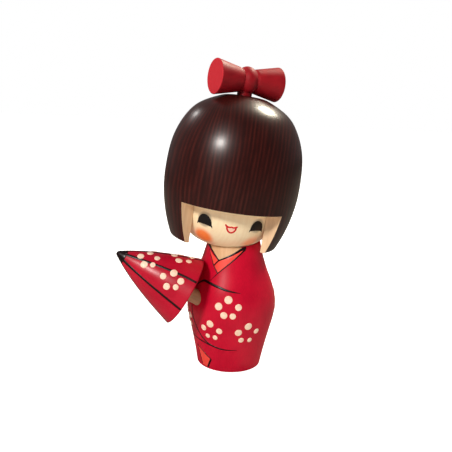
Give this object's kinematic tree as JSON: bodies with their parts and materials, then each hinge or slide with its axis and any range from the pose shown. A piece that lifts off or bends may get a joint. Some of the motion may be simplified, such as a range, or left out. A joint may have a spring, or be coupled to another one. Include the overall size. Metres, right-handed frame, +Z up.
{
  "type": "kokeshi doll",
  "caption": "Turned wooden doll with a deep bell of hair around a round face, a spool bow on a peg and a half-closed parasol on a stick.",
  "frame": {"origin": "centre of the flat foot under the body, on the surface it stands on", "axes": "+Z up the body's turning axis; the doll faces -Y; +X is on the right of someone facing it"},
  "size_m": [0.0857, 0.0652, 0.1485],
  "materials": {
    "body_lacquer": "gloss crimson lacquer with cream and coral paint",
    "dowel_wood": "bare turned wood",
    "face_wood": "pale waxed wood with painted face",
    "hair_lacquer": "gloss dark brown lacquer over visible grain, bare wood at the cut faces",
    "bow_lacquer": "gloss red lacquer",
    "parasol_lacquer": "gloss crimson lacquer with black ribs and tip"
  },
  "bodies": {
    "doll_body": {"body": "body_lacquer", "neck_dowel": "dowel_wood"},
    "head": {"face_ball": "face_wood", "hair_shell": "hair_lacquer", "bow_peg": "bow_lacquer"},
    "bow_spool": {"bow": "bow_lacquer"},
    "parasol_stick": {"parasol_handle": "dowel_wood"},
    "parasol_cone": {"parasol_canopy": "parasol_lacquer"}
  },
  "joints": [
    {"name": "head_turn", "type": "hinge", "parent": "doll_body", "child": "head", "pos_m": [-0.0037, 0, 0.0798], "axis": [0.1149, 0, 0.9934], "continuous": true},
    {"name": "bow_turn", "type": "hinge", "parent": "head", "child": "bow_spool", "pos_m": [0.00236, 0, 0.13915], "axis": [0.1149, 0, 0.9934], "continuous": true},
    {"name": "parasol_pull", "type": "slide", "parent": "doll_body", "child": "parasol_stick", "axis": [-0.8656, -0.091, 0.4924], "range_m": [0, 0.02]},
    {"name": "parasol_turn", "type": "hinge", "parent": "parasol_stick", "child": "parasol_cone", "pos_m": [-0.02233, -0.01295, 0.0397], "axis": [-0.8656, -0.091, 0.4924], "continuous": true}
  ]
}
